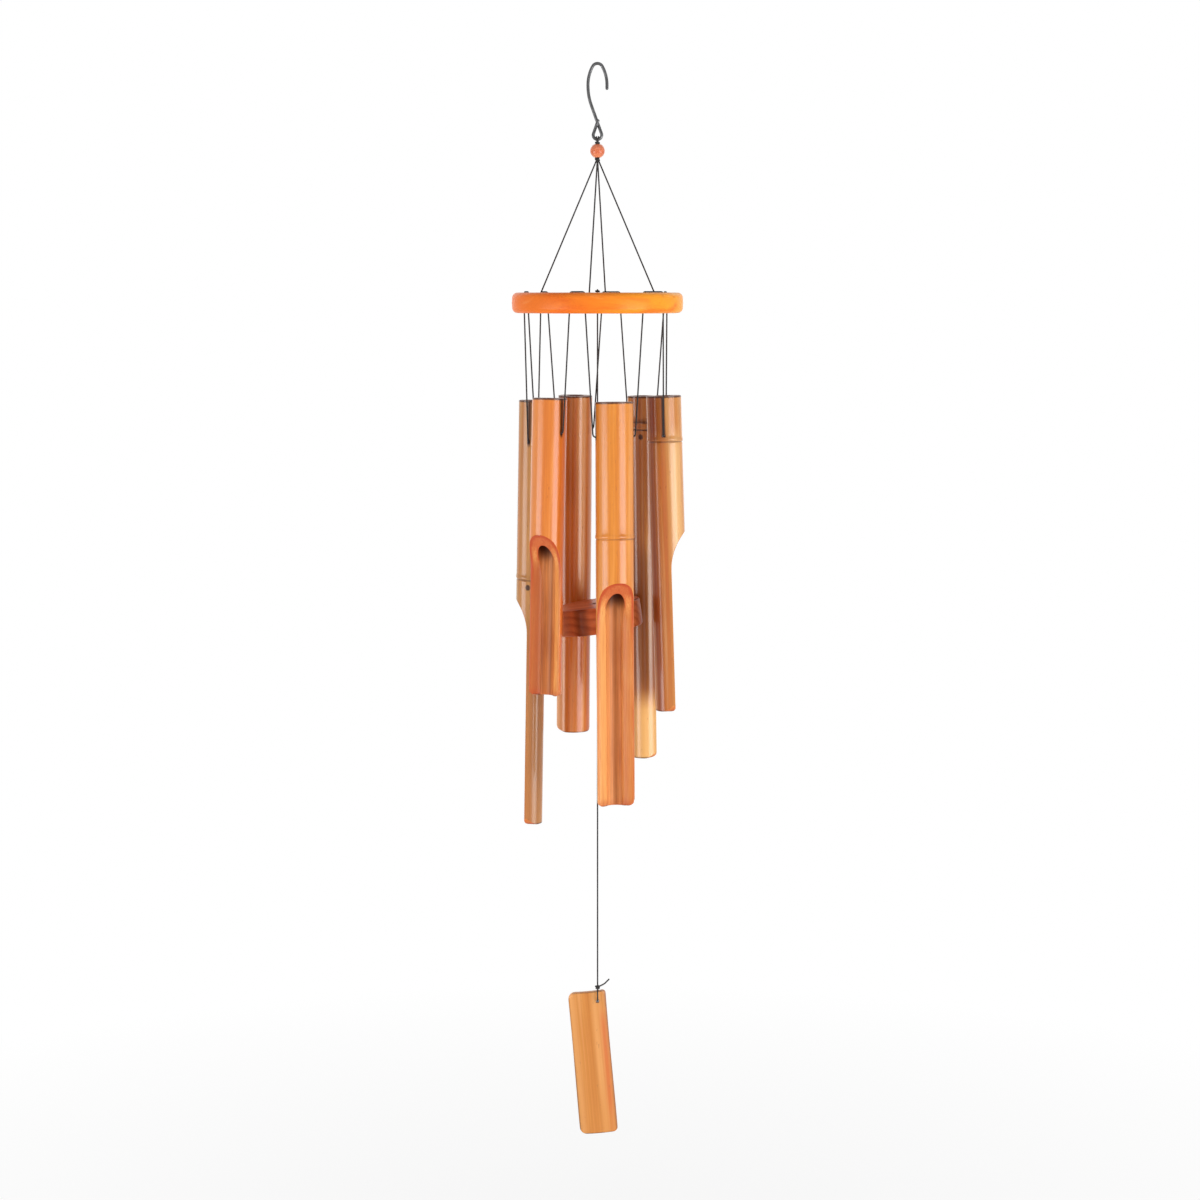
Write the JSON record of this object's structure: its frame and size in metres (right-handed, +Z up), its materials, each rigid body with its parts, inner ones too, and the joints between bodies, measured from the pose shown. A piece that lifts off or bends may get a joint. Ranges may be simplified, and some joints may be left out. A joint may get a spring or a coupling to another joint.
{
  "type": "bamboo wind chime",
  "caption": "Hanging wind chime: tongue-cut bamboo tubes laced under a round wooden disc, with a striker and a sail on the centre cord, hung from a wire hook.",
  "frame": {"origin": "inside the top bend of the hook, where it bears on what it hangs from", "axes": "+Z up; -Y is the front that the picture shows; +X to the right in that view, in the plane of the hook"},
  "size_m": [0.1108, 0.1106, 0.6977],
  "materials": {
    "hook_steel": "drawn steel wire",
    "cord": "twisted dark cord",
    "bead_wood": "turned and varnished",
    "disc_wood": "stained and varnished",
    "striker_wood": "stained and varnished",
    "sail_bamboo": "varnished bamboo",
    "golden_bamboo": "scorched and varnished bamboo",
    "tan_bamboo": "scorched and varnished bamboo",
    "dark_bamboo": "scorched and varnished bamboo"
  },
  "bodies": {
    "hook": {"hook": "hook_steel"},
    "hanger": {"hanger_cord": "cord"},
    "bead": {"bead": "bead_wood"},
    "canopy": {"suspension_cord_1": "cord", "suspension_cord_2": "cord", "suspension_cord_3": "cord", "suspension_cord_4": "cord", "top_disc": "disc_wood", "lacing_cord": "cord"},
    "drop_1": {"tube_cord_1": "cord"},
    "tube_1": {"tube_1": "golden_bamboo"},
    "drop_2": {"tube_cord_2": "cord"},
    "tube_2": {"tube_2": "tan_bamboo"},
    "drop_3": {"tube_cord_3": "cord"},
    "tube_3": {"tube_3": "dark_bamboo"},
    "drop_4": {"tube_cord_4": "cord"},
    "tube_4": {"tube_4": "dark_bamboo"},
    "drop_5": {"tube_cord_5": "cord"},
    "tube_5": {"tube_5": "tan_bamboo"},
    "drop_6": {"tube_cord_6": "cord"},
    "tube_6": {"tube_6": "golden_bamboo"},
    "striker_pivot": {"striker_stop_knot": "cord"},
    "striker_line": {"striker_cord": "cord", "striker_knot": "cord"},
    "striker": {"striker": "striker_wood"},
    "sail_line": {"sail_cord": "cord", "sail_knot": "cord"},
    "sail": {"sail": "sail_bamboo"}
  },
  "joints": [
    {"name": "hanger_swing", "type": "hinge", "parent": "hook", "child": "hanger", "pos_m": [0, 0, -0.04639], "axis": [1, 0, 0], "range_deg": [-25, 25]},
    {"name": "bead_spin", "type": "hinge", "parent": "hanger", "child": "bead", "pos_m": [0, 0, -0.05354], "axis": [0, 0, 1], "continuous": true},
    {"name": "canopy_sway", "type": "hinge", "parent": "hanger", "child": "canopy", "pos_m": [0, 0, -0.06088], "axis": [0, 1, 0], "range_deg": [-20, 20]},
    {"name": "tube_swing_1", "type": "hinge", "parent": "canopy", "child": "drop_1", "pos_m": [0.01045, -0.04192, -0.15529], "axis": [-0.9703, -0.2419, 0], "range_deg": [-1.2, 20]},
    {"name": "tube_rock_1", "type": "hinge", "parent": "drop_1", "child": "tube_1", "pos_m": [0.01045, -0.04192, -0.23269], "axis": [0.9703, 0.2419, 0], "range_deg": [-20, 2]},
    {"name": "tube_swing_2", "type": "hinge", "parent": "canopy", "child": "drop_2", "pos_m": [0.04304, -0.00377, -0.15529], "axis": [-0.0872, -0.9962, 0], "range_deg": [-1.2, 20]},
    {"name": "tube_rock_2", "type": "hinge", "parent": "drop_2", "child": "tube_2", "pos_m": [0.04304, -0.00377, -0.23319], "axis": [0.0872, 0.9962, 0], "range_deg": [-20, 2]},
    {"name": "tube_swing_3", "type": "hinge", "parent": "canopy", "child": "drop_3", "pos_m": [0.02891, 0.03211, -0.15529], "axis": [0.7431, -0.6691, 0], "range_deg": [-1.2, 20]},
    {"name": "tube_rock_3", "type": "hinge", "parent": "drop_3", "child": "tube_3", "pos_m": [0.02891, 0.03211, -0.23719], "axis": [-0.7431, 0.6691, 0], "range_deg": [-20, 2]},
    {"name": "tube_swing_4", "type": "hinge", "parent": "canopy", "child": "drop_4", "pos_m": [-0.01478, 0.0406, -0.15529], "axis": [-0.9397, -0.342, 0], "range_deg": [-20, 1.2]},
    {"name": "tube_rock_4", "type": "hinge", "parent": "drop_4", "child": "tube_4", "pos_m": [-0.01478, 0.0406, -0.23219], "axis": [0.9397, 0.342, 0], "range_deg": [-2, 20]},
    {"name": "tube_swing_5", "type": "hinge", "parent": "canopy", "child": "drop_5", "pos_m": [-0.04173, 0.01118, -0.15529], "axis": [-0.2588, -0.9659, 0], "range_deg": [-20, 1.2]},
    {"name": "tube_rock_5", "type": "hinge", "parent": "drop_5", "child": "tube_5", "pos_m": [-0.04173, 0.01118, -0.23819], "axis": [0.2588, 0.9659, 0], "range_deg": [-2, 20]},
    {"name": "tube_swing_6", "type": "hinge", "parent": "canopy", "child": "drop_6", "pos_m": [-0.03055, -0.03055, -0.15529], "axis": [0.7071, -0.7071, 0], "range_deg": [-20, 1.2]},
    {"name": "tube_rock_6", "type": "hinge", "parent": "drop_6", "child": "tube_6", "pos_m": [-0.03055, -0.03055, -0.23069], "axis": [-0.7071, 0.7071, 0], "range_deg": [-2, 20]},
    {"name": "striker_swing_x", "type": "hinge", "parent": "canopy", "child": "striker_pivot", "pos_m": [0, 0, -0.14173], "axis": [1, 0, 0], "range_deg": [-1.2, 1.2]},
    {"name": "striker_swing_y", "type": "hinge", "parent": "striker_pivot", "child": "striker_line", "pos_m": [0, 0, -0.14173], "axis": [0, 1, 0], "range_deg": [-1.2, 1.2]},
    {"name": "striker_tilt", "type": "hinge", "parent": "striker_line", "child": "striker", "pos_m": [0, 0, -0.35079], "axis": [0, 1, 0], "range_deg": [0, 16]},
    {"name": "sail_swing", "type": "hinge", "parent": "striker_line", "child": "sail_line", "pos_m": [0, 0, -0.36265], "axis": [0.9636, -0.2672, 0], "range_deg": [-25, 25]},
    {"name": "sail_tilt", "type": "hinge", "parent": "sail_line", "child": "sail", "pos_m": [0, 0, -0.6052], "axis": [0, 1, 0], "range_deg": [-9, 20]}
  ]
}
